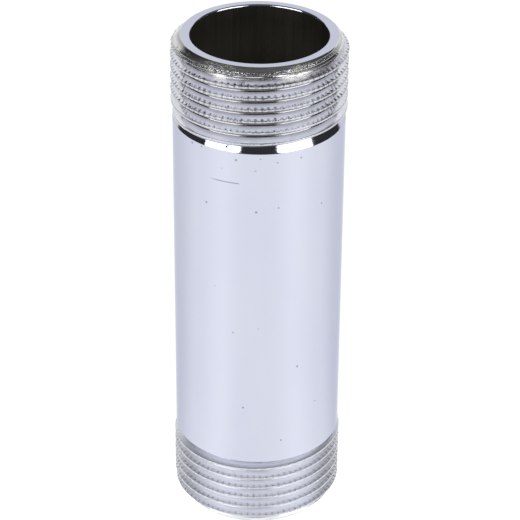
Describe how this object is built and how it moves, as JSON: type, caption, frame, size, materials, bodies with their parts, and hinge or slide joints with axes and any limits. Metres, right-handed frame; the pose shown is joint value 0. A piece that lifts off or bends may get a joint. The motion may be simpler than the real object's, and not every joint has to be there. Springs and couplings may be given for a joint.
{
  "type": "threaded pipe nipple",
  "caption": "Straight chrome-plated brass pipe nipple with a plain barrel, an open bore and a right-hand parallel pipe thread on each end.",
  "frame": {"origin": "centre of the lower end face, on the bore's axis", "axes": "+Z along the bore, from the lower end to the upper end; -Y is the front"},
  "size_m": [0.0264, 0.0264, 0.08],
  "materials": {
    "tube_chrome": "polished chrome plate on brass, with fine scratches",
    "thread_chrome": "polished chrome plate over cut threads with knurled crests"
  },
  "bodies": {
    "root": {"pipe_body": "tube_chrome", "upper_thread": "thread_chrome", "lower_thread": "thread_chrome"}
  },
  "joints": []
}
